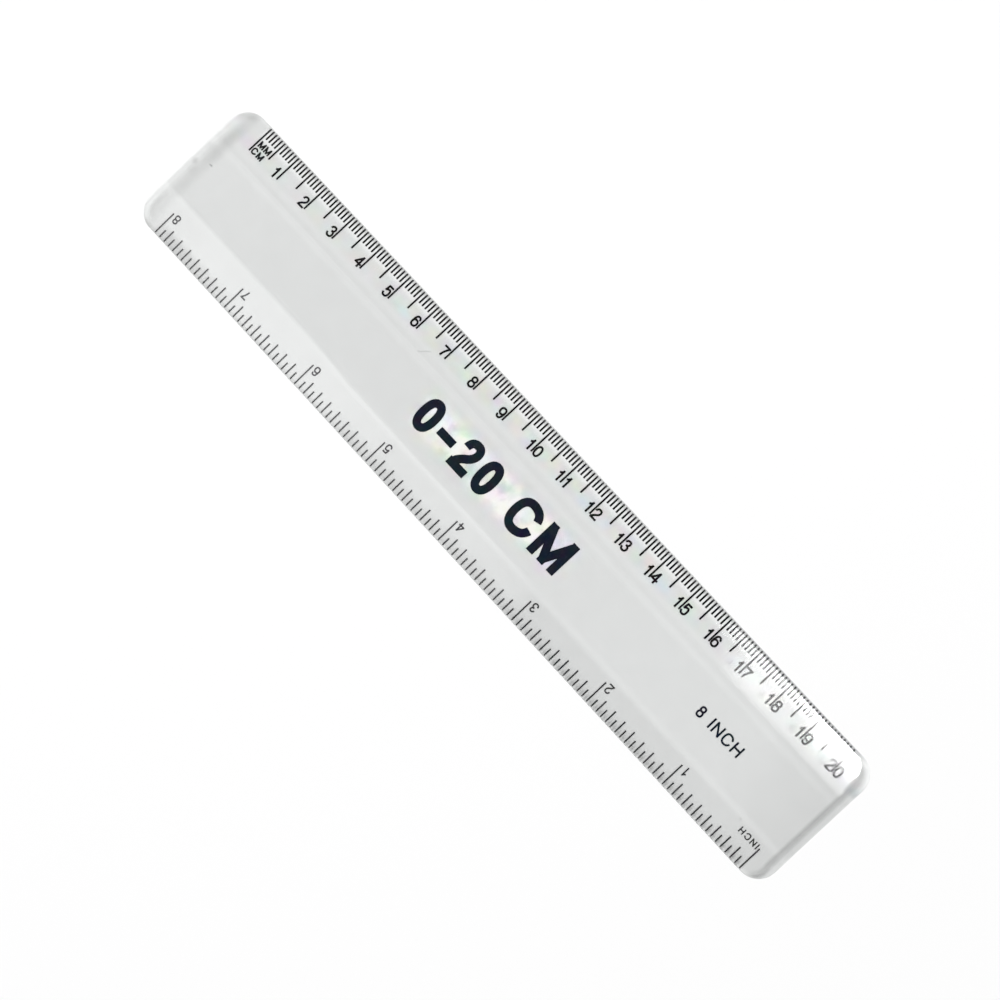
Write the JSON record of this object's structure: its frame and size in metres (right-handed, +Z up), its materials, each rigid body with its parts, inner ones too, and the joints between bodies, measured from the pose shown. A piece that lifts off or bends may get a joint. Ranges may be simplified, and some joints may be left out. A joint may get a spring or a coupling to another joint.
{
  "type": "flexible ruler",
  "caption": "Clear flexible plastic ruler with a centimetre scale on one bevelled edge and an inch scale on the other; it bends along its length.",
  "frame": {"origin": "under the middle of the flat strip, on its underside", "axes": "+X along the strip from the 0 cm end to the 20 cm end, +Y across it to the centimetre edge, +Z up out of the top face"},
  "size_m": [0.2166, 0.0376, 0.0018],
  "materials": {
    "clear_plastic": "clear, glossy",
    "black_ink": "printed ink, satin",
    "navy_ink": "printed ink, satin",
    "grey_ink": "printed ink, satin"
  },
  "bodies": {
    "cm_01": {"strip_cm_01": "clear_plastic"},
    "cm_02": {"strip_cm_02": "clear_plastic"},
    "cm_03": {"strip_cm_03": "clear_plastic"},
    "cm_04": {"strip_cm_04": "clear_plastic"},
    "cm_05": {"strip_cm_05": "clear_plastic"},
    "cm_06": {"strip_cm_06": "clear_plastic"},
    "cm_07": {"strip_cm_07": "clear_plastic"},
    "cm_08": {"strip_cm_08": "clear_plastic"},
    "cm_09": {"strip_cm_09": "clear_plastic"},
    "cm_10": {"strip_cm_10": "clear_plastic"},
    "cm_11": {"strip_cm_11": "clear_plastic"},
    "cm_12": {"strip_cm_12": "clear_plastic"},
    "cm_13": {"strip_cm_13": "clear_plastic"},
    "cm_14": {"strip_cm_14": "clear_plastic"},
    "cm_15": {"strip_cm_15": "clear_plastic"},
    "cm_16": {"strip_cm_16": "clear_plastic"},
    "cm_17": {"strip_cm_17": "clear_plastic"},
    "cm_18": {"strip_cm_18": "clear_plastic"},
    "cm_19": {"strip_cm_19": "clear_plastic"},
    "cm_20": {"strip_cm_20": "clear_plastic"}
  },
  "joints": [
    {"name": "flex_09", "type": "hinge", "parent": "cm_10", "child": "cm_09", "pos_m": [-0.0091, 0, 0.0009], "axis": [0, 1, 0], "range_deg": [0, 12], "stiffness_Nm_per_rad": 0.12},
    {"name": "flex_08", "type": "hinge", "parent": "cm_09", "child": "cm_08", "pos_m": [-0.0191, 0, 0.0009], "axis": [0, 1, 0], "range_deg": [0, 12], "stiffness_Nm_per_rad": 0.12},
    {"name": "flex_07", "type": "hinge", "parent": "cm_08", "child": "cm_07", "pos_m": [-0.0291, 0, 0.0009], "axis": [0, 1, 0], "range_deg": [0, 12], "stiffness_Nm_per_rad": 0.12},
    {"name": "flex_06", "type": "hinge", "parent": "cm_07", "child": "cm_06", "pos_m": [-0.0391, 0, 0.0009], "axis": [0, 1, 0], "range_deg": [0, 12], "stiffness_Nm_per_rad": 0.12},
    {"name": "flex_05", "type": "hinge", "parent": "cm_06", "child": "cm_05", "pos_m": [-0.0491, 0, 0.0009], "axis": [0, 1, 0], "range_deg": [0, 12], "stiffness_Nm_per_rad": 0.12},
    {"name": "flex_04", "type": "hinge", "parent": "cm_05", "child": "cm_04", "pos_m": [-0.0591, 0, 0.0009], "axis": [0, 1, 0], "range_deg": [0, 12], "stiffness_Nm_per_rad": 0.12},
    {"name": "flex_03", "type": "hinge", "parent": "cm_04", "child": "cm_03", "pos_m": [-0.0691, 0, 0.0009], "axis": [0, 1, 0], "range_deg": [0, 12], "stiffness_Nm_per_rad": 0.12},
    {"name": "flex_02", "type": "hinge", "parent": "cm_03", "child": "cm_02", "pos_m": [-0.0791, 0, 0.0009], "axis": [0, 1, 0], "range_deg": [0, 12], "stiffness_Nm_per_rad": 0.12},
    {"name": "flex_01", "type": "hinge", "parent": "cm_02", "child": "cm_01", "pos_m": [-0.0891, 0, 0.0009], "axis": [0, 1, 0], "range_deg": [0, 12], "stiffness_Nm_per_rad": 0.12},
    {"name": "flex_10", "type": "hinge", "parent": "cm_10", "child": "cm_11", "pos_m": [0.0009, 0, 0.0009], "axis": [0, -1, 0], "range_deg": [0, 12], "stiffness_Nm_per_rad": 0.12},
    {"name": "flex_11", "type": "hinge", "parent": "cm_11", "child": "cm_12", "pos_m": [0.0109, 0, 0.0009], "axis": [0, -1, 0], "range_deg": [0, 12], "stiffness_Nm_per_rad": 0.12},
    {"name": "flex_12", "type": "hinge", "parent": "cm_12", "child": "cm_13", "pos_m": [0.0209, 0, 0.0009], "axis": [0, -1, 0], "range_deg": [0, 12], "stiffness_Nm_per_rad": 0.12},
    {"name": "flex_13", "type": "hinge", "parent": "cm_13", "child": "cm_14", "pos_m": [0.0309, 0, 0.0009], "axis": [0, -1, 0], "range_deg": [0, 12], "stiffness_Nm_per_rad": 0.12},
    {"name": "flex_14", "type": "hinge", "parent": "cm_14", "child": "cm_15", "pos_m": [0.0409, 0, 0.0009], "axis": [0, -1, 0], "range_deg": [0, 12], "stiffness_Nm_per_rad": 0.12},
    {"name": "flex_15", "type": "hinge", "parent": "cm_15", "child": "cm_16", "pos_m": [0.0509, 0, 0.0009], "axis": [0, -1, 0], "range_deg": [0, 12], "stiffness_Nm_per_rad": 0.12},
    {"name": "flex_16", "type": "hinge", "parent": "cm_16", "child": "cm_17", "pos_m": [0.0609, 0, 0.0009], "axis": [0, -1, 0], "range_deg": [0, 12], "stiffness_Nm_per_rad": 0.12},
    {"name": "flex_17", "type": "hinge", "parent": "cm_17", "child": "cm_18", "pos_m": [0.0709, 0, 0.0009], "axis": [0, -1, 0], "range_deg": [0, 12], "stiffness_Nm_per_rad": 0.12},
    {"name": "flex_18", "type": "hinge", "parent": "cm_18", "child": "cm_19", "pos_m": [0.0809, 0, 0.0009], "axis": [0, -1, 0], "range_deg": [0, 12], "stiffness_Nm_per_rad": 0.12},
    {"name": "flex_19", "type": "hinge", "parent": "cm_19", "child": "cm_20", "pos_m": [0.0909, 0, 0.0009], "axis": [0, -1, 0], "range_deg": [0, 12], "stiffness_Nm_per_rad": 0.12}
  ],
  "couplings": [
    {"joint": "flex_08", "follows": "flex_09", "ratio": 1},
    {"joint": "flex_07", "follows": "flex_09", "ratio": 1},
    {"joint": "flex_06", "follows": "flex_09", "ratio": 1},
    {"joint": "flex_05", "follows": "flex_09", "ratio": 1},
    {"joint": "flex_04", "follows": "flex_09", "ratio": 1},
    {"joint": "flex_03", "follows": "flex_09", "ratio": 1},
    {"joint": "flex_02", "follows": "flex_09", "ratio": 1},
    {"joint": "flex_01", "follows": "flex_09", "ratio": 1},
    {"joint": "flex_11", "follows": "flex_10", "ratio": 1},
    {"joint": "flex_12", "follows": "flex_10", "ratio": 1},
    {"joint": "flex_13", "follows": "flex_10", "ratio": 1},
    {"joint": "flex_14", "follows": "flex_10", "ratio": 1},
    {"joint": "flex_15", "follows": "flex_10", "ratio": 1},
    {"joint": "flex_16", "follows": "flex_10", "ratio": 1},
    {"joint": "flex_17", "follows": "flex_10", "ratio": 1},
    {"joint": "flex_18", "follows": "flex_10", "ratio": 1},
    {"joint": "flex_19", "follows": "flex_10", "ratio": 1}
  ]
}
